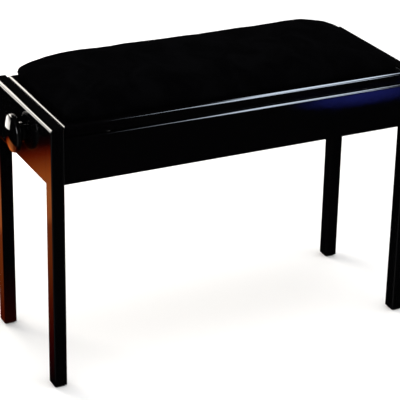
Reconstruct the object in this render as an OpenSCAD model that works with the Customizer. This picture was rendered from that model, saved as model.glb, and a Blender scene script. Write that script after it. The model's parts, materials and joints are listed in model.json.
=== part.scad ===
// Height-adjustable piano bench: a long cushioned seat on a black lacquered frame.
// A spindle with a knob at each end drives two scissor lifts under the seat.
// Frame: X along the bench, Y across it (front is -Y), Z up, origin on the floor under the middle.

/* [Bench] */
// Length over the two end frames
bench_length = 700; // [690:5:760]
// Depth over the legs
bench_depth = 272; // [272:2:300]
// Height of the end frames
end_height = 475; // [455:5:500]

/* [Legs, rails and aprons] */
// Thickness of the legs and end rails, along the bench
end_t = 23; // [22:0.5:25]
// Width of a leg, across the bench
leg_w = 25; // [24:0.5:27]
// Height of the end rails
rail_h = 103; // [102:1:110]
// Thickness of the front and back aprons
apron_t = 18; // [16:0.5:18]
// How far the aprons stand back from the legs' outer faces
apron_inset = 6; // [4:0.5:6]
// Step from the top of the end frames down to the top of the aprons
apron_drop = 22; // [22:0.5:24]
// Radius of the outer top edge of the end frames
end_top_r = 5; // [2:0.5:8]
// Radius of the legs' upright edges
leg_edge_r = 2; // [1:0.5:3]

/* [Seat] */
// Height of the seat moulding
mould_h = 20; // [19:0.5:20]
// Width of the seat moulding
mould_w = 13; // [12:0.5:15]
// Radius of the moulding's outer top edge
mould_r = 4.5; // [2:0.5:6]
// Gap between the seat and each end frame
seat_gap = 2; // [1.5:0.5:3]
// Thickness of the seat board
board_t = 9; // [8:0.5:9]
// Height of the cushion's crown above the moulding
crown_h = 47; // [40:1:55]

/* [Lift] */
// How far the seat rises
lift = 80; // [60:5:80]
// Length of a scissor arm between its end pivots
arm_l = 250; // [245:1:255]
// Height of the spindle above the floor, below the end frames' top
spindle_drop = 53; // [52:0.5:54]
// Radius of the spindle
spindle_r = 6; // [5:0.5:6]
// Radius of the pivot pins and axles
pin_r = 4; // [3.5:0.5:4]
// Thickness of the scissor arms
arm_t = 3; // [2.5:0.5:3]

/* [Knobs] */
// Radius of a knob
knob_r = 33; // [28:1:36]
// Thickness of a knob's disc
knob_t = 16; // [14:1:20]
// Length of a knob's neck
knob_neck = 6; // [5:1:8]

/* [Hidden] */
$fn = 48;

// Colours
lacquer = [0.02, 0.02, 0.022];
velvet = [0.03, 0.03, 0.03];
raw_wood = [0.72, 0.55, 0.36];
foam_yellow = [0.85, 0.8, 0.6];
zinc = [0.72, 0.73, 0.74];
dark_steel = [0.25, 0.25, 0.27];
bronze = [0.72, 0.52, 0.25];
nylon = [0.9, 0.9, 0.86];
felt = [0.25, 0.24, 0.22];

// Small sizes
cut = 1;                                // extra length of a cutting tool
slack = 0.02;                           // fixed fit, on the radius
run = 0.05;                             // running fit, on the radius
glide_t = 2;                            // foot glide under each leg
glide_pin_r = 2;
glide_pin_l = 8;
bottom_r = 1.5;                         // eased bottom edges
inner_top_r = 1.5;                      // eased inner top edges
joint_r = 0.5;                          // edges where a leg meets its rail
apron_top_r = 4;

// Half sizes of the frame
half_x = bench_length / 2;
half_y = bench_depth / 2;
inner_x = half_x - end_t;               // inner face of the end frames
rail_z = end_height - rail_h;           // bottom of rails and aprons
apron_y = half_y - apron_inset;         // outer face of the aprons
apron_in = apron_y - apron_t;           // inner face of the aprons
apron_top = end_height - apron_drop;
leg_in_y = half_y - leg_w;              // leg's face towards its end rail

// Seat
seat_x = inner_x - seat_gap;            // outer end of the seat moulding
seat_y = apron_y;                       // the moulding is flush with the aprons
mould_z = end_height - mould_h;
fillet_in = 1.8;                        // lower half of the moulding stands back
fillet_h = 9.5;
cover_t = 1.2;
foam_play = 0.3;                        // between the foam and the cover over it
cover_x = seat_x - mould_w;             // the cover fills the moulding
cover_y = seat_y - mould_w;
board_play = 0.4;                       // between the board and the cover round it
board_x = cover_x - cover_t - board_play;
board_y = cover_y - cover_t - board_play;
steel_t = 2.5;
board_z = mould_z + steel_t;            // the seat rails' flanges lie under the board
foam_z = board_z + board_t;
hem_w = 9;                              // width of the cover's hem under the board
pad_corner_r = 8;                       // corners of the board and of the cover round it
crown_z = end_height + crown_h;
shoulder_z = end_height + 8;            // the cushion's sides begin to turn over here
level_t = 0.5;                          // thickness of each level that the cushion is hulled from

// Lift
spindle_z = end_height - spindle_drop;
pivot_rise = 20;                        // rise of an arm's upper pivot over its lower one, seat down
upper_z = spindle_z + pivot_rise;
pivot_x = inner_x - 27;                 // fixed pivots, near the end frames
angle_down = asin(pivot_rise / arm_l);
angle_up = asin((pivot_rise + lift) / arm_l);
nut_x_down = pivot_x - arm_l * cos(angle_down);
nut_x_up = pivot_x - arm_l * cos(angle_up);
arm_h = 16;
eye_r = 10;

// Stations across the bench, measured from the middle plane
inner_arm_y = 74.5;
outer_arm_y = 79;
web_y = 84;                             // inner face of the steel rails' webs
web_out = web_y + steel_t;
axle_end_y = 88.5;
washer_r = 6.5;
head_r = 7;

// Heights of the steel rails
base_z = spindle_z - 20;
base_top = spindle_z + 7.5;
seat_rail_z = spindle_z + 9.5;
base_flange_y = 64;
seat_flange_y = 106;
seat_rail_x = inner_x - 11;
seat_flange_x = cover_x - hem_w - 1;    // the flange and the web's top end short of the cover's hem

// Play of the opened pivots, because the arms swing at a constant rate with the spindle
nut_play = 3.6;                         // along the inner arms, at the crosshead
nut_drop_play = 0.95;                   // across the inner arms, at the crosshead
seat_play = 0.95;                       // upwards, at the seat rails' slots
fit = 0.1;
side_play = 0.2;                        // between neighbouring pieces along an axle

plate_t = 3;
plate_z = spindle_z - 24;
plate_h = 42;
bush_r = 8;
bush_flange_r = 11;
bush_flange_t = 2;
collar_l = 8;
rosette_r = 17;
rosette_t = 3;
knob_gap = 0.4;
knob_x = half_x + rosette_t + knob_gap; // inner end of a knob's neck
knob_neck_r = 12;
knob_edge_r = 4;
knob_dome_h = 7;
knob_bore_l = 15;
set_screw_r = 1.5;

block = 22;                             // leg length of a corner block
block_face = 9;
block_z = rail_z + 8;
block_h = 60;
wood_screw_r = 2;
wood_screw_head_r = 3.6;
screw_hole_r = wood_screw_r + 0.25;     // clearance holes through the steel
dowel_r = 4;
dowel_l = 32;

// ---- Helpers ----

// Cuts one corner of a flat outline to radius r
module corner_cut(x, y, r, turn) {
    if (r > 0)
        translate([x, y]) rotate(turn) difference() {
            translate([-cut, -cut]) square(r + cut);
            translate([r, r]) circle(r);
        }
}

// Rectangle from the origin with the corner radii [near left, near right, far right, far left]
module round_rect(w, h, r) {
    difference() {
        square([w, h]);
        corner_cut(0, 0, r[0], 0);
        corner_cut(w, 0, r[1], 90);
        corner_cut(w, h, r[2], 180);
        corner_cut(0, h, r[3], 270);
    }
}

// Rectangle centred on the origin, all corners of radius r
module round_panel(w, h, r) {
    translate([-w / 2, -h / 2]) round_rect(w, h, [r, r, r, r]);
}

// Extrudes an outline (across, up) along X, centred
module along_x(length) {
    translate([-length / 2, 0, 0]) rotate([90, 0, 90]) linear_extrude(length) children();
}

// Extrudes an outline (along X, up) along Y, centred
module along_y(length) {
    translate([0, length / 2, 0]) rotate([90, 0, 0]) linear_extrude(length) children();
}

// Plain rod along X or Y between two stations
module rod_x(x0, x1, r) {
    translate([x0, 0, 0]) rotate([0, 90, 0]) cylinder(h = x1 - x0, r = r);
}

module rod_y(y0, y1, r) {
    translate([0, y0, 0]) rotate([-90, 0, 0]) cylinder(h = y1 - y0, r = r);
}

// Mirrors what is modelled at the left end or at the front
module at_end(end) {
    mirror([end > 0 ? 1 : 0, 0, 0]) children();
}

module at_side(side) {
    mirror([0, side > 0 ? 1 : 0, 0]) children();
}

// Screw with a domed cross-recess head, pointing up from the head's seat at the origin
module screw(length, r, head) {
    dome_h = head * 0.6;
    difference() {
        union() {
            cylinder(h = length - r, r = r);
            translate([0, 0, length - r]) cylinder(h = r, r1 = r, r2 = 0.3);
            translate([0, 0, -dome_h * 0.4]) cylinder(h = dome_h * 0.4, r = head);
            translate([0, 0, -dome_h]) cylinder(h = dome_h * 0.6, r1 = head * 0.72, r2 = head);
        }
        for (turn = [0, 90])
            rotate(turn) translate([-head * 0.55, -0.4, -dome_h - cut])
                cube([head * 1.1, 0.8, cut + dome_h * 0.7]);
    }
}

// ---- Frame ----

// Dowels join each leg to its end rail along Y and to its apron along X
dowel_x = half_x - end_t / 2;
dowel_y = apron_y - apron_t / 2;
rail_dowel_z = [rail_z + 38, rail_z + 86];
apron_dowel_z = [rail_z + 16, rail_z + 60];

module dowel(r) {
    chamfer = 1;
    translate([0, 0, -dowel_l / 2]) {
        cylinder(h = chamfer, r1 = r - chamfer, r2 = r);
        translate([0, 0, chamfer]) cylinder(h = dowel_l - 2 * chamfer, r = r);
        translate([0, 0, dowel_l - chamfer]) cylinder(h = chamfer, r1 = r, r2 = r - chamfer);
    }
}

module corner_dowels(grow) {
    for (z = rail_dowel_z)
        translate([-dowel_x, -leg_in_y, z]) rotate([90, 0, 0]) dowel(dowel_r + grow);
    for (z = apron_dowel_z)
        translate([-inner_x, -dowel_y, z]) rotate([0, 90, 0]) dowel(dowel_r + grow);
}

module all_dowels(grow) {
    for (end = [-1, 1], side = [-1, 1])
        at_end(end) at_side(side) corner_dowels(grow);
}

module leg(end, side) {
    color(lacquer) at_end(end) at_side(side) difference() {
        intersection() {
            translate([-half_x, -half_y, 0]) linear_extrude(end_height)
                round_rect(end_t, leg_w, [leg_edge_r, leg_edge_r, joint_r, joint_r]);
            translate([-half_x, 0, glide_t]) along_y(bench_depth + 2 * cut)
                round_rect(end_t, end_height - glide_t, [bottom_r, bottom_r, inner_top_r, end_top_r]);
            translate([0, -half_y, glide_t]) along_x(bench_length + 2 * cut)
                round_rect(leg_w, end_height - glide_t, [bottom_r, bottom_r, 0, leg_edge_r]);
        }
        corner_dowels(slack);
        translate([-dowel_x, -half_y + leg_w / 2, 0])
            cylinder(h = glide_t + glide_pin_l + cut, r = glide_pin_r + slack);
    }
}

module end_rail(end) {
    color(lacquer) at_end(end) difference() {
        translate([-half_x, 0, rail_z]) along_y(2 * leg_in_y)
            round_rect(end_t, rail_h, [bottom_r, bottom_r, inner_top_r, end_top_r]);
        for (side = [-1, 1])
            at_side(side) corner_dowels(slack);
        translate([0, 0, spindle_z]) rod_x(-half_x - cut, -inner_x + cut, bush_r + slack);
    }
}

module apron(side) {
    color(lacquer) at_side(side) difference() {
        translate([0, -apron_y, rail_z]) along_x(2 * inner_x)
            round_rect(apron_t, apron_top - rail_z, [bottom_r, bottom_r, inner_top_r, apron_top_r]);
        for (end = [-1, 1])
            at_end(end) corner_dowels(slack);
    }
}

module corner_blocks() {
    color(raw_wood) for (end = [-1, 1], side = [-1, 1])
        at_end(end) at_side(side) translate([-inner_x, -apron_in, block_z]) linear_extrude(block_h)
            polygon([[0, 0], [block, 0], [block, block_face], [block_face, block], [0, block]]);
}

module corner_block_screws() {
    length = 34;
    offset_in = block_face / 2;
    color(zinc) for (end = [-1, 1], side = [-1, 1])
        at_end(end) at_side(side) translate([-inner_x, -apron_in, block_z]) {
            translate([block, offset_in, block_h * 0.3]) rotate([0, -90, 0])
                screw(length, wood_screw_r, wood_screw_head_r);
            translate([offset_in, block, block_h * 0.7]) rotate([90, 0, 0])
                screw(length, wood_screw_r, wood_screw_head_r);
        }
}

module joint_dowels() {
    color(raw_wood) all_dowels(0);
}

module foot_glides() {
    edge = 2;
    color(felt) for (end = [-1, 1], side = [-1, 1])
        at_end(end) at_side(side) translate([-dowel_x, -half_y + leg_w / 2, 0]) {
            linear_extrude(glide_t) round_panel(end_t - 2 * edge, leg_w - 2 * edge, 4);
            cylinder(h = glide_t + glide_pin_l, r = glide_pin_r);
        }
}

module rest_pads() {
    pad_t = 1.6;
    pad_r = 4.5;
    pad_x = 245;
    color(felt) for (end = [-1, 1], side = [-1, 1])
        at_end(end) at_side(side) translate([-pad_x, -apron_y + apron_t / 2, apron_top])
            cylinder(h = pad_t, r = pad_r);
}

// ---- Lift base ----

// Slot for a round piece of radius r whose centre moves from (x0, z0) to (x1, z1), cut through a web
module web_slot(x0, x1, z0, z1, r) {
    translate([min(x0, x1) - r, -web_out - cut, z0 - r]) rotate([90, 0, 0]) mirror([0, 0, 1])
        linear_extrude(steel_t + 2 * cut)
            round_rect(abs(x1 - x0) + 2 * r, z1 - z0 + 2 * r, [r, r, r, r]);
}

module base_rail(side) {
    color(zinc) at_side(side) difference() {
        translate([0, -web_out, base_z]) along_x(2 * (inner_x - plate_t))
            polygon([
                [0, 0], [web_out - base_flange_y, 0], [web_out - base_flange_y, steel_t],
                [steel_t, steel_t], [steel_t, base_top - base_z], [0, base_top - base_z]
            ]);
        for (end = [-1, 1])
            at_end(end) {
                translate([-pivot_x, 0, spindle_z]) rod_y(-web_out - cut, -web_y + cut, pin_r + slack);
                web_slot(-nut_x_up - fit, -nut_x_down + fit, spindle_z, spindle_z, pin_r + run);
            }
    }
}

plate_hole_y = [-45, 45];
plate_hole_z = [plate_z + 7, plate_z + plate_h - 7];

module end_plate(end) {
    color(zinc) at_end(end) difference() {
        translate([-inner_x + plate_t / 2, 0, plate_z + plate_h / 2]) rotate([90, 0, 90])
            translate([0, 0, -plate_t / 2]) linear_extrude(plate_t) round_panel(2 * web_out + 1, plate_h, 4);
        translate([0, 0, spindle_z]) rod_x(-inner_x - cut, -inner_x + plate_t + cut, bush_r + slack);
        for (y = plate_hole_y, z = plate_hole_z)
            translate([0, y, z]) rod_x(-inner_x - cut, -inner_x + plate_t + cut, screw_hole_r);
    }
}

module end_plate_screws() {
    color(zinc) for (end = [-1, 1], y = plate_hole_y, z = plate_hole_z)
        at_end(end) translate([-inner_x + plate_t, y, z]) rotate([0, -90, 0])
            screw(18, wood_screw_r, wood_screw_head_r);
}

module spindle_bush(end) {
    inner_end = -inner_x + plate_t;
    color(nylon) at_end(end) translate([0, 0, spindle_z]) difference() {
        union() {
            rod_x(-half_x, inner_end, bush_r);
            rod_x(inner_end, inner_end + bush_flange_t, bush_flange_r);
        }
        rod_x(-half_x - cut, inner_end + bush_flange_t + cut, spindle_r + run);
    }
}

module rosette(end) {
    color(lacquer) at_end(end) translate([-half_x - rosette_t, 0, spindle_z]) rotate([0, 90, 0])
        rotate_extrude() translate([spindle_r + 2, 0])
            round_rect(rosette_r - spindle_r - 2, rosette_t, [0, 1.5, 0, 0]);
}

module lower_pivot_pins() {
    pin_head_t = 2;
    color(zinc) for (end = [-1, 1], side = [-1, 1])
        at_end(end) at_side(side) translate([-pivot_x, 0, spindle_z]) {
            rod_y(-web_out, -outer_arm_y + 2 * side_play, pin_r);
            rod_y(-web_out - pin_head_t, -web_out, head_r);
            rod_y(-web_y, -outer_arm_y - arm_t - side_play, washer_r);
            rod_y(-outer_arm_y + side_play, -outer_arm_y + 1, washer_r - 0.5);
        }
}

// ---- Drive ----

module spindle_rod() {
    reach = knob_x + knob_bore_l - 1;
    color(zinc) translate([0, 0, spindle_z]) rod_x(-reach, reach, spindle_r);
}

// Half of a knob's section: (out from the spindle's axis, out from the end frame)
module knob_profile() {
    dome_r = (knob_r * knob_r + knob_dome_h * knob_dome_h) / (2 * knob_dome_h);
    dome_y = knob_neck + knob_t - dome_r;
    edge_x = knob_r - knob_edge_r;
    edge_y = dome_y + sqrt(pow(dome_r - knob_edge_r, 2) - pow(edge_x, 2));
    square([knob_neck_r, knob_neck + cut]);
    translate([0, knob_neck]) round_rect(knob_r, edge_y - knob_neck, [0, knob_edge_r, 0, 0]);
    translate([edge_x, edge_y]) circle(knob_edge_r);
    intersection() {
        translate([0, dome_y]) circle(dome_r, $fn = 96);
        translate([0, knob_neck]) square([edge_x * dome_r / (dome_r - knob_edge_r), knob_t]);
    }
}

module knob(end) {
    color(lacquer) at_end(end) translate([-knob_x, 0, spindle_z]) rotate([0, -90, 0]) difference() {
        rotate_extrude() knob_profile();
        translate([0, 0, -cut]) cylinder(h = knob_bore_l + cut, r = spindle_r + slack);
        translate([0, 0, knob_neck / 2]) rotate([0, 90, 0])
            cylinder(h = knob_neck_r + cut, r = set_screw_r + slack);
    }
}

module knob_set_screws() {
    length = knob_neck_r - spindle_r - 0.5;
    socket_l = 2.5;
    color(dark_steel) for (end = [-1, 1])
        at_end(end) translate([-knob_x - knob_neck / 2, 0, spindle_z + spindle_r + run])
            difference() {
                cylinder(h = length, r = set_screw_r);
                translate([0, 0, length - socket_l]) cylinder(h = socket_l + cut, r = 0.8, $fn = 6);
            }
}

module thrust_collars() {
    outer_face = inner_x - plate_t - bush_flange_t - 0.3;
    color(zinc) for (end = [-1, 1])
        at_end(end) translate([0, 0, spindle_z]) difference() {
            rod_x(-outer_face, -outer_face + collar_l, bush_flange_r);
            rod_x(-outer_face - cut, -outer_face + collar_l + cut, spindle_r + slack);
            translate([-outer_face + collar_l / 2, 0, spindle_r + 2.5]) cylinder(h = 10, r = 2);
        }
}

// Crosshead: a block round the nut with a bar out to the arms on each side
nut_r = 9;
nut_l = 30;
head_x = 24;
head_y = 40;
bar_r = 7;
bar_end_y = inner_arm_y - 1;

module crosshead(end) {
    color(dark_steel) at_end(end) translate([-nut_x_down, 0, spindle_z]) difference() {
        union() {
            translate([0, 0, -head_x / 2]) linear_extrude(head_x) round_panel(head_x, head_y, 2);
            for (side = [-1, 1])
                at_side(side) {
                    rod_y(-bar_end_y, -head_y / 2 + cut, bar_r);
                    rod_y(-axle_end_y, -bar_end_y, pin_r);
                }
        }
        rod_x(-head_x, head_x, nut_r + slack);
    }
}

module spindle_nut(end) {
    color(bronze) at_end(end) translate([-nut_x_down, 0, spindle_z]) difference() {
        rod_x(-nut_l / 2, nut_l / 2, nut_r);
        rod_x(-nut_l, nut_l, spindle_r + run);
    }
}

// ---- Scissors, modelled at the left end and front side with the seat down ----

module arm_blank() {
    translate([0, -arm_h / 2]) square([arm_l, arm_h]);
    circle(eye_r);
    translate([arm_l, 0]) circle(eye_r);
    translate([arm_l / 2, 0]) circle(eye_r);
}

// Places an outline drawn along +X from a lower pivot as a plate of thickness arm_t
module arm_plate(x, turn, y_face) {
    translate([x, -y_face, spindle_z]) rotate([90, 0, 0]) rotate([0, 0, turn])
        linear_extrude(arm_t) children();
}

module outer_arm(end, side) {
    color(zinc) at_end(end) at_side(side) arm_plate(-pivot_x, angle_down, outer_arm_y) difference() {
        arm_blank();
        circle(pin_r + run);
        translate([arm_l / 2, 0]) circle(pin_r + slack);
        translate([arm_l, 0]) circle(pin_r + slack);
    }
}

// The inner arm runs from the crosshead outwards and up, so it is drawn mirrored
module inner_arm(end, side) {
    slot_r = pin_r + fit;
    color(zinc) at_end(end) at_side(side)
        translate([-nut_x_down, -inner_arm_y, spindle_z]) mirror([1, 0, 0]) rotate([90, 0, 0])
            rotate([0, 0, angle_down]) linear_extrude(arm_t) difference() {
                arm_blank();
                translate([-slot_r, -slot_r - nut_drop_play])
                    round_rect(2 * slot_r + nut_play, 2 * slot_r + nut_drop_play,
                        [slot_r, slot_r, slot_r, slot_r]);
                translate([arm_l / 2, 0]) circle(pin_r + run);
                translate([arm_l, 0]) circle(pin_r + slack);
            }
}

module slide_axle(end) {
    color(zinc) at_end(end) translate([-nut_x_down, 0, upper_z]) rod_y(-axle_end_y, axle_end_y, pin_r);
}

sleeve_r = pin_r + 2;

module slide_sleeves(end) {
    flange_t = 1.2;
    inner_end = outer_arm_y + arm_t + side_play;
    color(nylon) at_end(end) for (side = [-1, 1])
        at_side(side) translate([-nut_x_down, 0, upper_z]) difference() {
            union() {
                rod_y(-web_out - 1, -inner_end, sleeve_r);
                rod_y(-inner_end - flange_t, -inner_end, sleeve_r + 2);
            }
            rod_y(-axle_end_y, -outer_arm_y, pin_r + slack);
        }
}

module centre_rivets(end) {
    head_t = 1.3;
    inner_face = inner_arm_y - side_play;
    outer_face = outer_arm_y + arm_t;
    color(zinc) at_end(end) for (side = [-1, 1])
        at_side(side) translate([-(pivot_x + nut_x_down) / 2, 0, spindle_z + pivot_rise / 2]) {
            rod_y(-outer_face, -inner_face, pin_r);
            rod_y(-outer_face - head_t, -outer_face, head_r);
            rod_y(-outer_arm_y, -inner_arm_y - arm_t - side_play, washer_r);
            rod_y(-inner_face, -inner_face + head_t, head_r);
        }
}

module seat_axle(end) {
    color(zinc) at_end(end) translate([-pivot_x, 0, upper_z]) {
        rod_y(-axle_end_y, axle_end_y, pin_r);
        for (side = [-1, 1])
            at_side(side) rod_y(-web_y + 0.3, -inner_arm_y - arm_t, washer_r);
    }
}

// ---- Seat ----

// Moulding section: (inwards from the outer face, up)
module moulding_section() {
    translate([0, fillet_h]) round_rect(mould_w, mould_h - fillet_h, [1, 0, 1, mould_r]);
    translate([fillet_in, 0]) round_rect(mould_w - fillet_in, fillet_h + cut, [1, 0, 0, 0]);
}

// Plan of a moulding of the given outer length, cut to 45 degrees at both ends
module mitre(length) {
    translate([0, 0, -cut]) linear_extrude(mould_h + 2 * cut)
        polygon([
            [-length / 2, 0], [length / 2, 0],
            [length / 2 - mould_w, mould_w], [-length / 2 + mould_w, mould_w]
        ]);
}

module moulding(length) {
    intersection() {
        along_x(length) moulding_section();
        mitre(length);
    }
}

module moulding_long(side) {
    color(lacquer) at_side(side) translate([0, -seat_y, mould_z]) moulding(2 * seat_x);
}

module moulding_end(end) {
    color(lacquer) at_end(end) translate([-seat_x, 0, mould_z]) rotate([0, 0, -90]) moulding(2 * seat_y);
}

module seat_board() {
    color(raw_wood) translate([0, 0, board_z]) linear_extrude(board_t)
        round_panel(2 * board_x, 2 * board_y, pad_corner_r);
}

// One level of the cushion, set in along X and Y from the opening inside the mouldings
module level(in_x, in_y, r, z, h = level_t) {
    translate([0, 0, z]) linear_extrude(h)
        hull() for (sx = [-1, 1], sy = [-1, 1])
            translate([sx * (cover_x - in_x - r), sy * (cover_y - in_y - r)]) circle(r, $fn = 32);
}

// Cushion from height z0 up, set in by the thickness of the skin over it. It stands upright along
// the long sides, with a tight shoulder, and falls away over a longer stretch at the ends.
module pillow(skin, z0) {
    edge = fit + skin;
    rise = crown_z - shoulder_z - skin;
    hull() {
        level(edge, edge, pad_corner_r, z0, foam_z + 1 - z0);
        level(edge, edge, 14, shoulder_z);
        level(15 + edge, 1.2 + edge, 24, shoulder_z + rise * 0.5);
        level(41 + edge, 14 + edge, 34, shoulder_z + rise * 0.8);
        level(77 + edge, 45 + edge, 36, shoulder_z + rise * 0.95);
        level(150 + edge, 90 + edge, 20, crown_z - level_t - skin);
    }
}

module seat_foam() {
    color(foam_yellow) difference() {
        pillow(cover_t + foam_play, board_z);
        translate([-seat_x, -seat_y, 0]) cube([2 * seat_x, 2 * seat_y, foam_z]);
    }
}

// The cover goes round the foam and the board's edge and ends in a hem under the board
module seat_cover() {
    color(velvet) difference() {
        pillow(0, board_z - cover_t);
        pillow(cover_t, board_z);
        translate([0, 0, board_z - cover_t - cut]) linear_extrude(cover_t + 2 * cut)
            round_panel(2 * (cover_x - hem_w), 2 * (cover_y - hem_w), 2);
    }
}

module staple(turn) {
    crown = [10, 1.2, 0.7];
    rotate(turn) translate([-crown[0] / 2, -crown[1] / 2, -crown[2]]) cube(crown);
}

module cover_staples() {
    pitch = 40;
    line_x = cover_x - hem_w / 2;
    line_y = cover_y - hem_w / 2;
    color(zinc) translate([0, 0, board_z - cover_t]) {
        for (x = [-7:7], side = [-1, 1])
            translate([x * pitch, side * line_y, 0]) staple(0);
        for (y = [-2:2], end = [-1, 1])
            translate([end * line_x, y * pitch, 0]) staple(90);
    }
}

rail_screw_x = [-290, -130, 130, 290];
rail_screw_y = (web_out + seat_flange_y) / 2;

module seat_rail(side) {
    color(zinc) at_side(side) difference() {
        translate([0, -web_y, seat_rail_z]) mirror([0, 1, 0]) along_x(2 * seat_rail_x)
            polygon([
                [0, 0], [steel_t, 0], [steel_t, board_z - steel_t - seat_rail_z],
                [seat_flange_y - web_y, board_z - steel_t - seat_rail_z],
                [seat_flange_y - web_y, board_z - seat_rail_z], [0, board_z - seat_rail_z]
            ]);
        for (end = [-1, 1])
            at_end(end) {
                translate([-inner_x, -seat_y, mould_z - 0.5])
                    cube([inner_x - seat_flange_x, 2 * seat_y, mould_h]);
                web_slot(-pivot_x, -pivot_x, upper_z, upper_z + seat_play, pin_r + run);
                web_slot(-nut_x_up - fit, -nut_x_down + fit, upper_z, upper_z + seat_play, sleeve_r + run);
            }
        for (x = rail_screw_x)
            translate([x, -rail_screw_y, board_z - steel_t - cut])
                cylinder(h = steel_t + 2 * cut, r = screw_hole_r);
    }
}

module seat_rail_screws() {
    color(zinc) for (x = rail_screw_x, side = [-1, 1])
        translate([x, side * rail_screw_y, board_z - steel_t])
            screw(steel_t + board_t - 1, wood_screw_r, wood_screw_head_r);
}

// ---- Nodes ----

leg(-1, -1);  // leg_front_left
leg(1, -1);  // leg_front_right
leg(-1, 1);  // leg_back_left
leg(1, 1);  // leg_back_right
end_rail(-1);  // end_rail_left
end_rail(1);  // end_rail_right
apron(-1);  // front_apron
apron(1);  // back_apron
corner_blocks();
corner_block_screws();
joint_dowels();
foot_glides();
rest_pads();
base_rail(-1);  // base_rail_front
base_rail(1);  // base_rail_back
end_plate(-1);  // end_plate_left
end_plate(1);  // end_plate_right
end_plate_screws();
spindle_bush(-1);  // spindle_bush_left
spindle_bush(1);  // spindle_bush_right
rosette(-1);  // rosette_left
rosette(1);  // rosette_right
lower_pivot_pins();
spindle_rod();
knob(-1);  // knob_left
knob(1);  // knob_right
knob_set_screws();
thrust_collars();
crosshead(-1);  // crosshead_left
crosshead(1);  // crosshead_right
spindle_nut(-1);  // spindle_nut_left
spindle_nut(1);  // spindle_nut_right
outer_arm(-1, -1);  // outer_arm_left_front
outer_arm(-1, 1);  // outer_arm_left_back
slide_axle(-1);  // slide_axle_left
slide_sleeves(-1);  // slide_sleeves_left
centre_rivets(-1);  // centre_rivets_left
outer_arm(1, -1);  // outer_arm_right_front
outer_arm(1, 1);  // outer_arm_right_back
slide_axle(1);  // slide_axle_right
slide_sleeves(1);  // slide_sleeves_right
centre_rivets(1);  // centre_rivets_right
inner_arm(-1, -1);  // inner_arm_left_front
inner_arm(-1, 1);  // inner_arm_left_back
seat_axle(-1);  // seat_axle_left
inner_arm(1, -1);  // inner_arm_right_front
inner_arm(1, 1);  // inner_arm_right_back
seat_axle(1);  // seat_axle_right
moulding_long(-1);  // moulding_front
moulding_long(1);  // moulding_back
moulding_end(-1);  // moulding_left
moulding_end(1);  // moulding_right
seat_board();
seat_foam();
seat_cover();
cover_staples();
seat_rail(-1);  // seat_rail_front
seat_rail(1);  // seat_rail_back
seat_rail_screws();
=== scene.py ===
import json
import math

import bmesh
import bpy
import numpy as np
from mathutils import Matrix, Vector, noise


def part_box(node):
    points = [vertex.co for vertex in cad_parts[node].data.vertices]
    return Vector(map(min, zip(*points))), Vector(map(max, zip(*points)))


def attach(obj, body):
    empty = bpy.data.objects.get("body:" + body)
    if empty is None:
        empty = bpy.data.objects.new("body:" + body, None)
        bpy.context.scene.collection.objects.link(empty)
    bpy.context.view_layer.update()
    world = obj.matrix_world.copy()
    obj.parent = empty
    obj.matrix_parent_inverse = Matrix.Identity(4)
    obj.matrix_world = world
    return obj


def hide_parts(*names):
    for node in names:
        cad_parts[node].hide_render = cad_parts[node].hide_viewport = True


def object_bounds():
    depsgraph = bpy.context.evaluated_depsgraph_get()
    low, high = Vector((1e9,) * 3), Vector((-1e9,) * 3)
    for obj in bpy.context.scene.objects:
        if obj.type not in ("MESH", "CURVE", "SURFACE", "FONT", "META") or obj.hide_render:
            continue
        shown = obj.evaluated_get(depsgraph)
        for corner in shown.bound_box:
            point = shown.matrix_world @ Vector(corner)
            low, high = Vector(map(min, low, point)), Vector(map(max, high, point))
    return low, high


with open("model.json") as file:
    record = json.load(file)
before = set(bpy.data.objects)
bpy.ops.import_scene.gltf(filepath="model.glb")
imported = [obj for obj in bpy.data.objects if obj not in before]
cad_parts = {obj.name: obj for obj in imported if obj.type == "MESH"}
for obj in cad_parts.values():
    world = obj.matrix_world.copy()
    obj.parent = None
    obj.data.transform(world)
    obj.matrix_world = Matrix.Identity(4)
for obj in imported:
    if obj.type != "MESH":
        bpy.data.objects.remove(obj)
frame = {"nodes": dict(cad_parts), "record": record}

# The piano bench's looks: gloss black lacquer, a velvet pad and a plated steel lift.
# Metres throughout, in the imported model's own frame.

cad_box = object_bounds()
scene = bpy.context.scene
nodes = frame["nodes"]
MM = 0.001


# ---- Camera ----

CAMERA_PLACE = Vector((-1.2433, -2.4446, 1.4809))
CAMERA_YAW = math.radians(27.059)
CAMERA_PITCH = math.radians(22.761)
CAMERA_ROLL = math.radians(1.343)
CAMERA_LENS = 150.1
CAMERA_SHIFT = (-0.025, -0.125)
CAMERA_REACH = 60


def make_camera():
    """A camera at the photograph's viewing angle, from its yaw, pitch and roll."""
    forward = Vector((
        math.sin(CAMERA_YAW) * math.cos(CAMERA_PITCH),
        math.cos(CAMERA_YAW) * math.cos(CAMERA_PITCH),
        -math.sin(CAMERA_PITCH),
    ))
    level = Vector((math.cos(CAMERA_YAW), -math.sin(CAMERA_YAW), 0))
    upright = level.cross(forward)
    right = math.cos(CAMERA_ROLL) * level + math.sin(CAMERA_ROLL) * upright
    up = -math.sin(CAMERA_ROLL) * level + math.cos(CAMERA_ROLL) * upright
    camera = bpy.data.objects.new("camera", bpy.data.cameras.new("camera"))
    scene.collection.objects.link(camera)
    turn = Matrix((right, up, -forward)).transposed().to_4x4()
    camera.matrix_world = Matrix.Translation(CAMERA_PLACE) @ turn
    camera.data.lens = CAMERA_LENS
    camera.data.shift_x, camera.data.shift_y = CAMERA_SHIFT
    camera.data.clip_end = CAMERA_REACH
    scene.camera = camera


# ---- Node helpers ----

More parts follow.
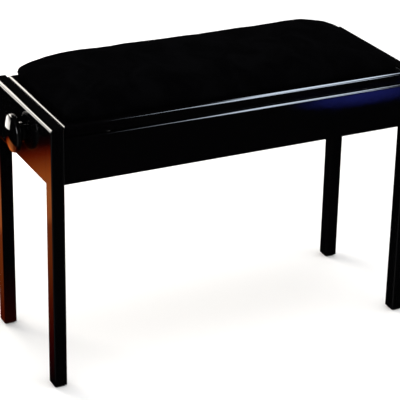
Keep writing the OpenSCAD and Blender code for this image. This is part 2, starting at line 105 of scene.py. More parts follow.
class Graph:
    """A material's or world's node tree, with short calls for the nodes used here."""

    def __init__(self, tree):
        self.tree = tree
        self.point = None

    def add(self, kind, **settings):
        made = self.tree.nodes.new(kind)
        for name, value in settings.items():
            setattr(made, name, value)
        return made

    def set(self, socket, value):
        if isinstance(value, bpy.types.NodeSocket):
            self.tree.links.new(value, socket)
        else:
            socket.default_value = value

    def place(self, stretch=(1, 1, 1)):
        """Points in the object's own metres, stretched along each axis."""
        if self.point is None:
            self.point = self.add("ShaderNodeTexCoord").outputs["Object"]
        mapping = self.add("ShaderNodeMapping")
        self.set(mapping.inputs["Vector"], self.point)
        mapping.inputs["Scale"].default_value = stretch
        return mapping.outputs["Vector"]

    def noise(self, scale, detail, stretch=(1, 1, 1), distortion=0.0):
        made = self.add("ShaderNodeTexNoise")
        self.set(made.inputs["Vector"], self.place(stretch))
        made.inputs["Scale"].default_value = scale
        made.inputs["Detail"].default_value = detail
        made.inputs["Distortion"].default_value = distortion
        return made.outputs["Fac"]

    def cells(self, scale):
        made = self.add("ShaderNodeTexVoronoi")
        self.set(made.inputs["Vector"], self.place())
        made.inputs["Scale"].default_value = scale
        return made.outputs["Color"]

    def rings(self, scale, axis, distortion, kind="RINGS"):
        made = self.add("ShaderNodeTexWave", wave_type=kind)
        if kind == "RINGS":
            made.rings_direction = axis
        else:
            made.bands_direction = axis
        self.set(made.inputs["Vector"], self.place())
        made.inputs["Scale"].default_value = scale
        made.inputs["Distortion"].default_value = distortion
        made.inputs["Detail"].default_value = 2.0
        return made.outputs["Fac"]

    def remap(self, value, low, high, to_low=0.0, to_high=1.0):
        made = self.add("ShaderNodeMapRange")
        self.set(made.inputs["Value"], value)
        made.inputs["From Min"].default_value = low
        made.inputs["From Max"].default_value = high
        made.inputs["To Min"].default_value = to_low
        made.inputs["To Max"].default_value = to_high
        return made.outputs["Result"]

    def math(self, how, a, b):
        made = self.add("ShaderNodeMath", operation=how)
        self.set(made.inputs[0], a)
        self.set(made.inputs[1], b)
        return made.outputs["Value"]

    def mix(self, share, a, b):
        made = self.add("ShaderNodeMix", data_type="RGBA")
        self.set(made.inputs["Factor"], share)
        self.set(made.inputs["A"], (*a, 1) if isinstance(a, tuple) else a)
        self.set(made.inputs["B"], (*b, 1) if isinstance(b, tuple) else b)
        return made.outputs["Result"]

    def bump(self, height, distance, strength=1.0, normal=None):
        made = self.add("ShaderNodeBump")
        self.set(made.inputs["Height"], height)
        made.inputs["Distance"].default_value = distance
        made.inputs["Strength"].default_value = strength
        if normal is not None:
            self.set(made.inputs["Normal"], normal)
        return made.outputs["Normal"]


def new_material(name):
    made = bpy.data.materials.new(name)
    made.use_nodes = True
    graph = Graph(made.node_tree)
    shader = made.node_tree.nodes["Principled BSDF"]
    return made, graph, shader


# ---- Materials ----

def lacquer_material():
    """Polished black polyester: faint orange peel, hazy smudges and hairline polishing marks."""
    made, g, shader = new_material("lacquer")
    smudge = g.remap(g.noise(11, 4, distortion=0.6), 0.5, 0.75, 0, 0.05)
    hairline = g.remap(g.noise(260, 3, (1, 0.05, 0.3)), 0.58, 0.75, 0, 0.035)
    rough = g.math("ADD", g.math("ADD", smudge, hairline), 0.035)
    g.set(shader.inputs["Roughness"], rough)
    tint = g.mix(g.noise(7, 3), (0.0005, 0.0005, 0.0006), (0.0011, 0.0010, 0.0012))
    g.set(shader.inputs["Base Color"], tint)
    g.set(shader.inputs["Normal"], g.bump(g.noise(110, 2), 0.00008, 0.2))
    shader.inputs["IOR"].default_value = 1.52
    return made


def velvet_material():
    """Short black pile; the soft bloom where the nap is brushed the other way is painted sheen, a
    lighter base colour in patches.
    """
    made, g, shader = new_material("velvet")
    # patches of brushed nap: painted sheen in the base colour below, and real changes of roughness
    nap_and_sheen = g.remap(g.noise(22, 3, (1, 0.7, 1), 0.8), 0.38, 0.66)
    pile = g.noise(1500, 2)
    tone = g.math("MULTIPLY", g.remap(pile, 0.3, 0.7, 0.55, 1.0), g.remap(nap_and_sheen, 0, 1, 0.5, 1.0))
    # painted sheen: the base colour is lighter where the nap patches bloom
    colour = g.mix(tone, (0.0002, 0.0002, 0.0003), (0.0018, 0.0018, 0.0021))
    g.set(shader.inputs["Base Color"], colour)
    g.set(shader.inputs["Roughness"], g.remap(nap_and_sheen, 0, 1, 0.97, 0.82))
    shader.inputs["Specular IOR Level"].default_value = 0.0
    shader.inputs["Sheen Weight"].default_value = 0.001
    shader.inputs["Sheen Roughness"].default_value = 0.42
    shader.inputs["Sheen Tint"].default_value = (0.75, 0.78, 0.88, 1)
    brushed = g.bump(g.noise(70, 2, (1, 0.4, 1), 1.2), 0.0006, 0.4)
    g.set(shader.inputs["Normal"], g.bump(pile, 0.0005, 0.8, brushed))
    return made


def beech_material():
    """Oiled beech with its short dark flecks, for the blocks and dowels."""
    made, g, shader = new_material("beech")
    grain = g.noise(55, 5, (1, 1, 0.09), 0.4)
    fleck = g.remap(g.noise(420, 2, (1, 1, 0.18)), 0.56, 0.7)
    colour = g.mix(grain, (0.46, 0.27, 0.13), (0.66, 0.44, 0.25))
    colour = g.mix(g.math("MULTIPLY", fleck, 0.5), colour, (0.3, 0.16, 0.08))
    g.set(shader.inputs["Base Color"], colour)
    g.set(shader.inputs["Roughness"], g.remap(grain, 0.3, 0.7, 0.5, 0.68))
    g.set(shader.inputs["Normal"], g.bump(grain, 0.0003, 0.5))
    return made


def plywood_material():
    """Birch plywood: face grain along the bench, plies shown on the edges."""
    made, g, shader = new_material("plywood")
    face = g.noise(48, 5, (0.07, 1, 1), 0.7)
    ply = g.remap(g.rings(330, "Z", 0.4, "BANDS"), 0.3, 0.7)
    pale = g.mix(face, (0.52, 0.35, 0.19), (0.72, 0.55, 0.35))
    colour = g.mix(g.math("MULTIPLY", ply, 0.3), pale, (0.36, 0.2, 0.1))
    g.set(shader.inputs["Base Color"], colour)
    g.set(shader.inputs["Roughness"], g.remap(face, 0.3, 0.7, 0.55, 0.75))
    g.set(shader.inputs["Normal"], g.bump(face, 0.00025, 0.5))
    return made


def plated_material(name, stretch, base, scuff):
    """Zinc plating over steel: crystals, rolling or turning marks, dulled patches."""
    made, g, shader = new_material(name)
    crystal = g.add("ShaderNodeSeparateColor")
    g.set(crystal.inputs["Color"], g.cells(260))
    marks = g.noise(500, 3, stretch)
    dull = g.remap(g.noise(28, 4, distortion=0.5), 0.42, 0.7)
    tone = g.mix(crystal.outputs["Red"], tuple(c * 0.86 for c in base), base)
    colour = g.mix(g.math("MULTIPLY", dull, scuff), tone, (0.3, 0.29, 0.27))
    g.set(shader.inputs["Base Color"], colour)
    rough = g.math("ADD", g.remap(marks, 0.3, 0.7, 0.2, 0.36), g.math("MULTIPLY", dull, 0.16))
    g.set(shader.inputs["Roughness"], rough)
    g.set(shader.inputs["Normal"], g.bump(marks, 0.00004, 0.5))
    shader.inputs["Metallic"].default_value = 1.0
    return made


def oxide_material():
    """Blackened steel, rubbed brighter in patches."""
    made, g, shader = new_material("dark_steel")
    cast = g.noise(180, 4)
    rubbed = g.remap(g.noise(35, 4, distortion=1.0), 0.6, 0.75)
    colour = g.mix(cast, (0.016, 0.016, 0.018), (0.045, 0.044, 0.046))
    colour = g.mix(g.math("MULTIPLY", rubbed, 0.5), colour, (0.16, 0.15, 0.14))
    g.set(shader.inputs["Base Color"], colour)
    g.set(shader.inputs["Roughness"], g.remap(cast, 0.3, 0.7, 0.34, 0.56))
    g.set(shader.inputs["Normal"], g.bump(cast, 0.0002, 0.4))
    shader.inputs["Metallic"].default_value = 0.75
    return made


def bronze_material():
    """Turned bronze with a brown stain."""
    made, g, shader = new_material("bronze")
    turned = g.rings(700, "X", 0.6)
    stain = g.remap(g.noise(60, 4), 0.4, 0.7)
    g.set(shader.inputs["Base Color"], g.mix(stain, (0.66, 0.42, 0.16), (0.4, 0.23, 0.09)))
    g.set(shader.inputs["Roughness"], g.remap(stain, 0, 1, 0.24, 0.42))
    g.set(shader.inputs["Normal"], g.bump(turned, 0.00005, 0.6))
    shader.inputs["Metallic"].default_value = 1.0
    return made


def nylon_material():
    """Off-white nylon, grey where it has been handled."""
    made, g, shader = new_material("nylon")
    grime = g.remap(g.noise(70, 4), 0.5, 0.75)
    g.set(shader.inputs["Base Color"], g.mix(grime, (0.78, 0.77, 0.71), (0.5, 0.47, 0.4)))
    g.set(shader.inputs["Roughness"], g.remap(grime, 0, 1, 0.36, 0.6))
    g.set(shader.inputs["Normal"], g.bump(g.noise(600, 2), 0.00005, 0.4))
    shader.inputs["Subsurface Weight"].default_value = 0.1
    shader.inputs["Subsurface Scale"].default_value = 0.002
    return made


def felt_material():
    """Black wool felt."""
    made, g, shader = new_material("felt")
    fibre = g.noise(900, 4, distortion=2.5)
    g.set(shader.inputs["Base Color"], g.mix(fibre, (0.012, 0.012, 0.012), (0.05, 0.048, 0.045)))
    g.set(shader.inputs["Roughness"], g.remap(fibre, 0.3, 0.7, 0.85, 1.0))
    shader.inputs["Specular IOR Level"].default_value = 0.1
    shader.inputs["Sheen Weight"].default_value = 0.2
    shader.inputs["Sheen Roughness"].default_value = 0.6
    g.set(shader.inputs["Normal"], g.bump(fibre, 0.0004, 0.9))
    return made


MATERIALS = {
    "black_lacquer": lacquer_material(),
    "black_velvet": velvet_material(),
    "beech": beech_material(),
    "plywood": plywood_material(),
    "zinc_sheet": plated_material("zinc_sheet", (0.06, 1, 1), (0.6, 0.61, 0.63), 0.5),
    "zinc_fastener": plated_material("zinc_fastener", (1, 1, 1), (0.66, 0.66, 0.66), 0.35),
    "dark_steel": oxide_material(),
    "bronze": bronze_material(),
    "nylon": nylon_material(),
    "felt": felt_material(),
}
MATERIALS["foam"] = MATERIALS["black_velvet"]       # the pad shows only its velvet


def dress_cad_nodes():
    """Every CAD node takes the material of its slot in the record."""
    for part in frame["record"]["subparts"]:
        for holder in nodes[part["node"]].material_slots:
            holder.material = MATERIALS[part["material_slot"]]


# ---- Mesh helpers ----

def unit(value):
    """The value held between 0 and 1."""
    return min(1.0, max(0.0, value))


def add_piece(name, build, body, slot):
    """Makes an object from a bmesh, gives it its slot's material and lets it ride on a body."""
    mesh = bpy.data.meshes.new(name)
    bmesh.ops.recalc_face_normals(build, faces=build.faces)
    build.to_mesh(mesh)
    build.free()
    piece = bpy.data.objects.new(name, mesh)
    scene.collection.objects.link(piece)
    mesh.materials.append(MATERIALS[slot])
    mesh.shade_smooth()
    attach(piece, body)
    return piece


def rounded_outline(half_x, half_y, radius, per_corner, per_side):
    """Points round a rounded rectangle, anticlockwise; facing sides have equally many."""
    points = []
    corners = [(1, 1, 0), (-1, 1, 90), (-1, -1, 180), (1, -1, 270)]
    for index, (sx, sy, start) in enumerate(corners):
        centre = Vector((sx * (half_x - radius), sy * (half_y - radius)))
        for step in range(per_corner + 1):
            turn = math.radians(start + 90 * step / per_corner)
            points.append(centre + radius * Vector((math.cos(turn), math.sin(turn))))
        nx, ny, nstart = corners[(index + 1) % 4]
        turn = math.radians(nstart)
        after = Vector((nx * (half_x - radius), ny * (half_y - radius)))
        after += radius * Vector((math.cos(turn), math.sin(turn)))
        before = points[-1]
        sides = per_side[index % 2]
        points += [before.lerp(after, step / sides) for step in range(1, sides)]
    return points


def skin_rings(build, rings, close_start, close_end):
    """Joins rings of equally many points with quads and closes the ends with one face each."""
    made = [[build.verts.new(p) for p in ring] for ring in rings]
    for lower, upper in zip(made, made[1:]):
        for i in range(len(lower)):
            j = (i + 1) % len(lower)
            build.faces.new((lower[i], lower[j], upper[j], upper[i]))
    if close_start:
        build.faces.new(reversed(made[0]))
    if close_end:
        build.faces.new(made[-1])
    return made


# ---- Pad ----

cover_low, cover_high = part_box("seat_cover")
board_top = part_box("seat_board")[1].z
mould_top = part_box("moulding_front")[1].z
PAD_HALF_X = cover_high.x
PAD_HALF_Y = cover_high.y
PAD_CROWN = cover_high.z
PAD_FOOT = board_top + 0.2 * MM
OUTLINE_SIDES = (60, 24)                # points along the long and the short sides
CORNER_POINTS = 8
SHOULDER_Z = mould_top + 16 * MM        # where the swollen sides turn over into the top
OVERHANG = 4 * MM                       # how far the sides swell out over the moulding
FOOT_INSET = 0.8 * MM
SIDE_INSET = 0.4 * MM
SHOULDER_DROP = 4 * MM                  # the swollen sides end this far below the shoulder
BOARD_CORNER_R = 9 * MM
SHOULDER_CORNER_R = 10 * MM
ROUNDEST = 0.8                          # a corner's radius, at most, as a share of the half depth
END_FALL = 199 * MM                     # the crown falls away over this length at each end
CROWN_ALONG = (5.2, 0.55)               # how fast the crown levels off, and how upright it starts
CROWN_ACROSS = (3.06, 0.2)
TOP_RINGS = 32
TOP_REACH = 114 * MM                    # the innermost ring of the top lies this far in
TOP_SPREAD = 2.4                        # above 1, the rings crowd towards the shoulder
TOP_ROUNDING = 0.24                     # how fast the rings' corners open on the way in
VOXEL = 4.5 * MM
PUFF_PRESSURE = 4.0
PUFF_FRAMES = 20
PUFF_CAP = 3 * MM                       # the furthest that the pressure may move a point
START_SHRINK = 3.5 * MM                 # the unstuffed top lies this much lower
FREE_DROP = 2 * MM                      # the cloth is free from this far below the shoulder up
HOLD_BAND = 9 * MM                      # and it is held firm this much lower still
CROWN_SPARE = 1.5 * MM                  # the stuffed top stays below this height over the crown
UNEVEN = 1.1 * MM                       # the velvet's unevenness
UNEVEN_SCALE = 14                       # in waves to the metre
UNEVEN_BAND = 10 * MM                   # the unevenness starts over this height from the moulding
SWELL_BAND = 6 * MM                     # and so does the room for the overhang


def crown_height(x, y):
    """Height of the pad's top over its shoulder, from 0 at the edge to 1 in the middle."""
    height = 1.0
    falls = (
        (PAD_HALF_X + OVERHANG - abs(x), END_FALL, CROWN_ALONG),
        (PAD_HALF_Y + OVERHANG - abs(y), PAD_HALF_Y, CROWN_ACROSS),
    )
    for inward, length, (level, upright) in falls:
        height *= (1 - (1 - unit(inward / length)) ** level) ** upright
    return height


def pad_outline(inset, radius):
    """The pad's outline, moved in from the cover's sides."""
    half_x, half_y = PAD_HALF_X - inset, PAD_HALF_Y - inset
    return rounded_outline(half_x, half_y, radius, CORNER_POINTS, OUTLINE_SIDES)


def pad_block():
    """The pad before it is stuffed: sides swelling over the moulding and a low crown."""
    build = bmesh.new()
    sides = (
        (PAD_FOOT, FOOT_INSET, BOARD_CORNER_R),
        (mould_top, SIDE_INSET, BOARD_CORNER_R),
        (SHOULDER_Z - SHOULDER_DROP, -OVERHANG, SHOULDER_CORNER_R),
    )
    rings = [[Vector((p.x, p.y, z)) for p in pad_outline(inset, radius)]
             for z, inset, radius in sides]
    for step in range(1, TOP_RINGS + 1):
        inward = TOP_REACH * (step / TOP_RINGS) ** TOP_SPREAD
        inset = inward - OVERHANG
        widest = (PAD_HALF_Y - inset) * ROUNDEST
        radius = min(SHOULDER_CORNER_R + TOP_ROUNDING * inward, widest)
        ring = []
        for p in pad_outline(inset, radius):
            z = SHOULDER_Z + (PAD_CROWN - SHOULDER_Z) * crown_height(p.x, p.y)
            ring.append(Vector((p.x, p.y, z - START_SHRINK)))
        rings.append(ring)
    skin_rings(build, rings, True, True)
    bmesh.ops.triangulate(build, faces=[f for f in build.faces if len(f.verts) > 4])
    return build


def remesh(piece, size):
    """Rebuilds the piece's skin from voxels of one size."""
    modifier = piece.modifiers.new("remesh", "REMESH")
    modifier.mode = "VOXEL"
    modifier.voxel_size = size
    modifier.use_smooth_shade = True
    apply_modifiers(piece)


def apply_modifiers(piece):
    """Replaces the piece's mesh by what its modifiers make of it."""
    graph = bpy.context.evaluated_depsgraph_get()
    made = bpy.data.meshes.new_from_object(piece.evaluated_get(graph))
    piece.modifiers.clear()
    old, piece.data = piece.data, made
    bpy.data.meshes.remove(old)


def puff(piece, held):
    """Swells a piece as cloth under pressure; held(point) gives how firmly a point stays put."""
    before = np.array([v.co for v in piece.data.vertices])
    group = piece.vertex_groups.new(name="held")
    for vertex in piece.data.vertices:
        group.add([vertex.index], held(vertex.co), "REPLACE")
    cloth = piece.modifiers.new("cloth", "CLOTH")
    settings = cloth.settings
    settings.quality = 6
    settings.mass = 0.35
    settings.tension_stiffness = 12
    settings.compression_stiffness = 12
    settings.shear_stiffness = 6
    settings.bending_stiffness = 0.6
    settings.use_pressure = True
    settings.uniform_pressure_force = PUFF_PRESSURE
    settings.vertex_group_mass = "held"
    settings.effector_weights.gravity = 0
    cloth.collision_settings.use_self_collision = False
    cloth.point_cache.frame_start = 1
    cloth.point_cache.frame_end = PUFF_FRAMES
    for step in range(1, PUFF_FRAMES + 1):
        scene.frame_set(step)
    apply_modifiers(piece)
    after = np.array([v.co for v in piece.data.vertices])
    move = after - before
    size = np.linalg.norm(move, axis=1, keepdims=True)
    after = before + move * np.minimum(1.0, PUFF_CAP / np.maximum(size, 1e-9))
    piece.data.vertices.foreach_set("co", after.astype(np.float32).ravel())
    scene.frame_set(1)
    piece.vertex_groups.clear()


def pad_held(point):
    """The flat underside and the sides inside the moulding stay put; the crown is free."""
    return unit((SHOULDER_Z - FREE_DROP - point.z) / HOLD_BAND)


def settle_pad(piece):
    """Keeps the pad within its space and gives the velvet its faint unevenness."""
    vertices = piece.data.vertices
    places = [v.co.copy() for v in vertices]
    normals = [v.normal.copy() for v in vertices]
    for co, normal in zip(places, normals):
        free = unit((co.z - mould_top) / UNEVEN_BAND)
        co += normal * (noise.fractal(co * UNEVEN_SCALE, 1.0, 2.0, 3) * UNEVEN * free)
        swell = OVERHANG * unit((co.z - mould_top) / SWELL_BAND)
        co.x = max(-PAD_HALF_X - swell, min(PAD_HALF_X + swell, co.x))
        co.y = max(-PAD_HALF_Y - swell, min(PAD_HALF_Y + swell, co.y))
        co.z = max(PAD_FOOT, min(PAD_CROWN + CROWN_SPARE, co.z))
    vertices.foreach_set("co", np.array(places, dtype=np.float32).ravel())


def hem_shell():
    """The cover's lower edge: down past the board's side, turned under it and stapled."""
    build = bmesh.new()
    cloth_t, inner, fold, hem_in = 1.1 * MM, 1.3 * MM, 1.2 * MM, 9 * MM
    fold_mid, sag, fray = 0.35 * MM, 0.1 * MM, 0.5 * MM
    corner_r, least_r, corner_points = 8 * MM, 0.6 * MM, 6
    foot, top = cover_low.z, board_top + 2 * MM
    section = [
        (0, top), (0, foot + fold), (fold_mid, foot + fold_mid), (fold, foot),
        (hem_in, foot + sag), (hem_in, foot + cloth_t), (inner, foot + cloth_t), (inner, top),
    ]
    rings = []
    for inset, z in section:
        half_x, half_y = PAD_HALF_X - inset, PAD_HALF_Y - inset
        radius = max(corner_r - inset, least_r)
        outline = rounded_outline(half_x, half_y, radius, corner_points, OUTLINE_SIDES)
        ring = []
        for index, p in enumerate(outline):
            frayed = 0
            if inset == hem_in:
                frayed = fray * noise.noise(Vector((index * 0.7, 3.1, 0.4)))
            shrink = 1 + frayed / PAD_HALF_Y
            ring.append(Vector((p.x * shrink, p.y * shrink, z)))
        rings.append(ring)
    made = skin_rings(build, rings, False, False)
    for i in range(len(made[0])):
        j = (i + 1) % len(made[0])
        build.faces.new((made[-1][i], made[-1][j], made[0][j], made[0][i]))
    return build


def make_pad():
    """The stuffed pad in place of the foam, and the cover's hem in place of the cover."""
    pad = add_piece("seat_pad", pad_block(), "seat", "black_velvet")
    remesh(pad, VOXEL)
    puff(pad, pad_held)
    smooth = pad.modifiers.new("smooth", "SMOOTH")
    smooth.factor, smooth.iterations = 0.5, 2
    divide = pad.modifiers.new("divide", "SUBSURF")
    divide.levels = divide.render_levels = 1
    apply_modifiers(pad)
    settle_pad(pad)
    pad.data.shade_smooth()
    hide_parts("seat_foam")
    hem = add_piece("cover_hem", hem_shell(), "seat", "black_velvet")
    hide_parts("seat_cover")


# ---- Spindle ----

ROUND = 40                              # points round the spindle
THREAD_LEAD = 3 * MM
THREAD_DEPTH = 1.2 * MM
CHAMFER = 1 * MM
CORE_SHARE = 0.995                      # the core lies just inside the thread's root
THREAD_INWARD = 14 * MM                 # how far the thread runs past the nut to the middle
THREAD_OUTWARD = 42 * MM                # and to the knob

# one turn of a trapezoidal thread: (share of a turn along the axis, whether on the crest)
THREAD_SECTION = ((0.0, False), (0.18, False), (0.34, True), (0.66, True), (0.82, False))


def turned_ring(x, radius, middle, around, lead=0.0):
    """Points round the X axis at height middle; a thread's ring moves on by lead in one turn."""
    ring = []
    for k in range(around):
        angle = 2 * math.pi * k / around
        y, z = radius * math.cos(angle), middle + radius * math.sin(angle)
        ring.append(Vector((x + lead * k / around, y, z)))
    return ring


def turned_rod(build, profile, middle, around=ROUND):
    """A turned piece about the X axis at a height, from (x, radius) points."""
    rings = [turned_ring(x, radius, middle, around) for x, radius in profile]
    skin_rings(build, rings, True, True)


def threaded_rod(build, start, end, middle, crest, root, hand):
    """A threaded stretch along X; hand is 1 for a right-hand and -1 for a left-hand thread."""
    made = []
    for turn in range(int((end - start) / THREAD_LEAD)):
        for share, on_crest in THREAD_SECTION:
            x = start + (turn + share) * THREAD_LEAD
            radius = crest if on_crest else root
            ring = turned_ring(x, radius, middle, ROUND, hand * THREAD_LEAD)
            made.append([build.verts.new(p) for p in ring])
    for lower, upper in zip(made, made[1:]):
        for k in range(ROUND - 1):
            build.faces.new((lower[k], lower[k + 1], upper[k + 1], upper[k]))
    # the seam joins a ring's last point to the same flank one turn on
    for row in range(len(made) - 1):
        ahead = row + hand * len(THREAD_SECTION)
        if 0 <= ahead and ahead + 1 < len(made):
            build.faces.new((made[row][-1], made[ahead][0], made[ahead + 1][0], made[row + 1][-1]))


def make_spindle():
    """The spindle with its right-hand and left-hand threads, in place of the plain rod."""
    low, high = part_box("spindle_rod")
    nut_low, nut_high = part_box("spindle_nut_right")
    middle = (low.z + high.z) / 2
    crest = (high.z - low.z) / 2
    root = crest - THREAD_DEPTH
    thread_from = nut_low.x - THREAD_INWARD
    thread_to = nut_high.x + THREAD_OUTWARD
    build = bmesh.new()
    plain = [(-thread_from, root), (-thread_from, crest), (thread_from, crest), (thread_from, root)]
    turned_rod(build, plain, middle)
    end = [
        (thread_to, root), (thread_to, crest),
        (high.x - CHAMFER, crest), (high.x, crest - CHAMFER),
    ]
    core = [(thread_from - CHAMFER, root * CORE_SHARE), (thread_to + CHAMFER, root * CORE_SHARE)]
    for side in (-1, 1):
        for profile in (end, core):
            turned_rod(build, [(side * x, radius) for x, radius in profile], middle)
        low_x, high_x = sorted((side * thread_from, side * thread_to))
        threaded_rod(build, low_x, high_x, middle, crest, root, side)
    rod = add_piece("spindle_screw", build, "spindle", "zinc_fastener")
    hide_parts("spindle_rod")


# ---- Knobs ----

KNOB_ROUND = 96                         # points round a knob
KNOB_STEPS = (8, 12, 24)                # along its back edge, its rim and its dome
DOME_END = 89.8                         # in degrees; the dome stops just short of the axis
SHARP = math.radians(40)


def arc(centre, radius, start, end, steps):
    """Points on an arc as (along, out), its angles in degrees from the outward direction."""
    points = []
    for step in range(steps + 1):
        turn = math.radians(start + (end - start) * step / steps)
        points.append((centre[0] + radius * math.sin(turn), centre[1] + radius * math.cos(turn)))
    return points


def make_knob(node, side):
    """A turned knob: neck, flat back, rounded rim and a shallow dome."""
    low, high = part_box(node)
    inner = min(abs(low.x), abs(high.x))
    length = high.x - low.x
    middle = (low.z + high.z) / 2
    knob_r = (high.z - low.z) / 2
    neck_r, neck_l, edge_r, dome_h = 12 * MM, 6 * MM, 4 * MM, 7 * MM
    bore_r, neck_chamfer, neck_fillet = 5.9 * MM, 0.4 * MM, 0.5 * MM
    dome_r = (knob_r ** 2 + dome_h ** 2) / (2 * dome_h)
    dome_mid = length - dome_r
    rim_out = knob_r - edge_r
    rim_along = dome_mid + math.sqrt((dome_r - edge_r) ** 2 - rim_out ** 2)
    tangent = math.degrees(math.asin(rim_out / (dome_r - edge_r)))
    profile = [
        (0, bore_r), (0, neck_r - neck_chamfer), (neck_chamfer, neck_r),
        (neck_l - neck_fillet, neck_r), (neck_l, neck_r + neck_fillet),
    ]
    back_steps, rim_steps, dome_steps = KNOB_STEPS
    profile += arc((neck_l + edge_r, rim_out), edge_r, -90, 0, back_steps)
    profile += arc((rim_along, rim_out), edge_r, 0, 90 - tangent, rim_steps)
    profile += arc((dome_mid, 0), dome_r, 90 - tangent, DOME_END, dome_steps)[1:]
    build = bmesh.new()
    profile = [(side * (inner + along), out) for along, out in profile]
    turned_rod(build, profile, middle, KNOB_ROUND)
    piece = add_piece("turned_" + node, build, "spindle", "black_lacquer")
    piece.data.set_sharp_from_angle(angle=SHARP)
    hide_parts(node)


# ---- Stage ----

FLOOR_SIZE = 30
FLOOR_GAP = 0.2 * MM
FILL = 1.25                             # the world's strength for the camera and as fill light
SIDE_GLOW = (0.07, 0.19)                # its strength in reflections at the sides, high and low
BACK_GLOW = (0.002, 0.015)              # and everywhere, low and high
BLUE_STRENGTH = 1.5
WARM_STRENGTH = 1.5


def flat_sheet(name, size):
    """A flat square object round the origin; size is half its side."""
    build = bmesh.new()
    bmesh.ops.create_grid(build, x_segments=1, y_segments=1, size=size)
    mesh = bpy.data.meshes.new(name)
    build.to_mesh(mesh)
    build.free()
    sheet = bpy.data.objects.new(name, mesh)
    scene.collection.objects.link(sheet)
    return sheet


def card(name, corner, across, along, shade):
    """A glowing panel seen only in reflections; shade(graph, x, y) gives colour and strength."""
    panel = flat_sheet(name, 0.5)
    across, along = Vector(across), Vector(along)
    frame_axes = Matrix((across, along, across.cross(along).normalized())).transposed()
    middle = Vector(corner) + (across + along) / 2
    panel.matrix_world = Matrix.Translation(middle) @ frame_axes.to_4x4()
    made = bpy.data.materials.new(name)
    made.use_nodes = True
    made.node_tree.nodes.clear()
    g = Graph(made.node_tree)
    split = g.add("ShaderNodeSeparateXYZ")
    g.set(split.inputs["Vector"], g.place())
    spot = [g.math("ADD", split.outputs[axis], 0.5) for axis in "XY"]
    colour, strength = shade(g, *spot)
    glow = g.add("ShaderNodeEmission")
    g.set(glow.inputs["Color"], colour)
    g.set(glow.inputs["Strength"], strength)
    out = g.add("ShaderNodeOutputMaterial")
    g.set(out.inputs["Surface"], glow.outputs["Emission"])
    panel.data.materials.append(made)
    panel.visible_camera = False
    panel.visible_diffuse = False
    panel.visible_shadow = False


def faded(g, spot, low, high):
    """1 across a card, falling to 0 over the shares low and high at its two edges."""
    rise = g.remap(spot, 0.0, low)
    fall = g.remap(spot, 1.0, 1.0 - high)
    return g.math("MULTIPLY", rise, fall)


def plain_glow(colour, strength, fade_x, fade_y):
    """A shade for a card of one colour, which fades at its edges."""
    def shade(g, x, y):
        edge = g.math("MULTIPLY", faded(g, x, *fade_x), faded(g, y, *fade_y))
        return (*colour, 1), g.math("MULTIPLY", edge, strength)
    return shade


cool_window = plain_glow(
    (0.74, 0.85, 1.0), strength=18, fade_x=(0.28, 0.15), fade_y=(0.05, 0.05))
side_panel = plain_glow(
    (0.95, 0.97, 1.0), strength=7, fade_x=(0.15, 0.15), fade_y=(0.15, 0.15))
white_wall = plain_glow(
    (1.0, 0.96, 0.9), strength=6, fade_x=(0.12, 0.08), fade_y=(0.05, 0.4))


def blue_pool(g, x, y):
    """A violet-blue glow on the floor in front, mirrored under the front moulding's right half."""
    across = g.math("MULTIPLY", g.math("SUBTRACT", x, 0.5), 2.0)
    square = g.math("ADD", g.math("MULTIPLY", across, across), g.math("MULTIPLY", y, y))
    return (0.09, 0.12, 1.0, 1), g.remap(square, 1.0, 0.0, 0.0, BLUE_STRENGTH)


def warm_floor_glow(g, x, y):
    """A glow seen only in reflections, standing for lit brown boards behind the left end; its
    darker, redder part towards the bench is painted shadow of the bench, and it darkens at the far
    edge.
    """
    ramp = g.add("ShaderNodeValToRGB")
    g.set(ramp.inputs["Fac"], y)
    # painted shadow: the low stops, towards the bench, are dark and red where the bench shades the
    # boards
    stops = [
        (0.03, (0, 0, 0)), (0.14, (0.05, 0.0005, 0.0005)), (0.28, (0.16, 0.012, 0.001)),
        (0.43, (0.33, 0.053, 0.008)), (0.57, (0.42, 0.075, 0.014)), (0.61, (0.82, 0.2, 0.045)),
        (0.71, (0.9, 0.24, 0.055)), (0.8, (0.76, 0.15, 0.022)), (0.9, (0.27, 0.019, 0.001)),
        (0.95, (0.02, 0, 0)), (1.0, (0, 0, 0)),
    ]
    elements = ramp.color_ramp.elements
    while len(elements) < len(stops):
        elements.new(0.5)
    # all places first: the ramp sorts its elements when a place changes
    for element, (place, _) in zip(elements, stops):
        element.position = place
    for element, (_, colour) in zip(elements, stops):
        element.color = (*colour, 1)
    strength = g.math("MULTIPLY", faded(g, x, 0.05, 0.05), WARM_STRENGTH)
    return ramp.outputs["Color"], strength


def softbox(name, centre, target, width, height, colour, radiance, mirrored=True):
    """An area light facing its target; mirrored says whether reflections show it."""
    light = bpy.data.lights.new(name, "AREA")
    light.shape = "RECTANGLE"
    light.size, light.size_y = width, height
    light.color = colour
    light.energy = radiance * math.pi * width * height
    box = bpy.data.objects.new(name, light)
    scene.collection.objects.link(box)
    facing = (Vector(target) - Vector(centre)).normalized().to_track_quat("-Z", "Y")
    box.matrix_world = Matrix.Translation(centre) @ facing.to_matrix().to_4x4()
    box.visible_camera = False
    box.visible_glossy = mirrored


def make_floor():
    """A plain pale floor, just under the feet."""
    floor = flat_sheet("floor", FLOOR_SIZE)
    floor.location.z = cad_box[0].z - FLOOR_GAP
    made, g, shader = new_material("floor")
    g.set(shader.inputs["Base Color"], g.mix(g.noise(3, 2), (0.93, 0.93, 0.93), (0.95, 0.95, 0.95)))
    shader.inputs["Roughness"].default_value = 0.9
    shader.inputs["Specular IOR Level"].default_value = 0.0
    floor.data.materials.append(made)
    floor.visible_glossy = False


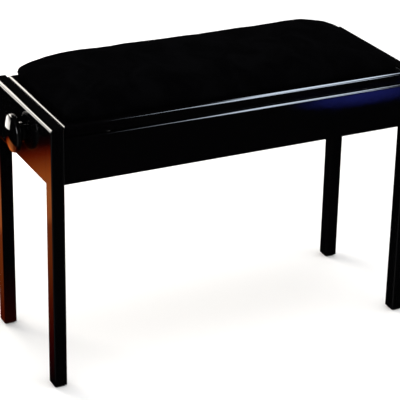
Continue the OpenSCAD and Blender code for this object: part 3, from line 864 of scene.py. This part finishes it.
def make_world():
    """White to the camera and as fill light; dark in reflections, with a glow at each side."""
    world = bpy.data.worlds.new("studio")
    scene.world = world
    world.use_nodes = True
    world.node_tree.nodes.clear()
    g = Graph(world.node_tree)
    path = g.add("ShaderNodeLightPath")
    split = g.add("ShaderNodeSeparateXYZ")
    g.set(split.inputs["Vector"], g.add("ShaderNodeTexCoord").outputs["Generated"])
    x, y, z = (split.outputs[axis] for axis in "XYZ")
    left = g.math("MULTIPLY", g.remap(x, 0.0, -0.4), g.remap(y, 0.35, 0.0))
    sides = g.math("ADD", left, g.remap(x, 0.6, 0.8))
    low = g.math("MULTIPLY", sides, g.remap(z, 0.6, -0.2, *SIDE_GLOW))
    dim = g.math("ADD", low, g.remap(z, -0.2, 0.9, *BACK_GLOW))
    level = g.add("ShaderNodeMix", data_type="FLOAT")
    g.set(level.inputs["Factor"], path.outputs["Is Glossy Ray"])
    level.inputs["A"].default_value = FILL
    g.set(level.inputs["B"], dim)
    back = g.add("ShaderNodeBackground")
    g.set(back.inputs["Strength"], level.outputs["Result"])
    out = g.add("ShaderNodeOutputWorld")
    g.set(out.inputs["Surface"], back.outputs["Background"])


def make_lights():
    """Softboxes, then cards as corner, across and along; the cards light only reflections."""
    softbox("left_rear", (-0.95, 2.1, 1.15), (-0.35, 0, 0.47),
            width=1.6, height=1.0, colour=(1.0, 0.95, 0.88), radiance=9)
    card("cool_window", (1.06, -2.8, 1.9), (0.6, 0, 0), (-0.62, 3.1, 0), cool_window)
    card("cool_screen", (1.36, -3.4, 0.6), (0.98, 0, 0), (0.08, 0, 1.3), cool_window)
    card("blue_pool", (0.66, -1.122, 0.003), (0.42, -0.02, 0), (0, 0.08, 0), blue_pool)
    card("white_wall", (-2.1, 2.1, -0.28), (1.48, 0, 0), (0, 0, 0.62), white_wall)
    card("warm_floor_glow", (-0.83, -0.15, 0.002), (0.6, 0, 0), (0, 1.08, 0), warm_floor_glow)
    card("right_panel", (4.0, -1.6, 0.7), (0, 2.2, 0), (0, 0, 2.2), side_panel)
    card("left_panel", (-3.6, -2.6, 0.7), (0, 1.9, 0), (0, 0, 2.0), side_panel)
    card("rear_panel", (3.0, 3.4, 0.7), (2.2, -1.0, 0), (0, 0, 2.0), side_panel)
    softbox("overhead", (0.4, -0.4, 3.2), (0, 0, 0.4),
            width=1.6, height=1.6, colour=(1, 1, 1), radiance=3, mirrored=False)


scene.view_settings.view_transform = "Standard"
make_camera()
dress_cad_nodes()
make_pad()
make_spindle()
make_knob("knob_left", -1)
make_knob("knob_right", 1)
make_floor()
make_world()
make_lights()
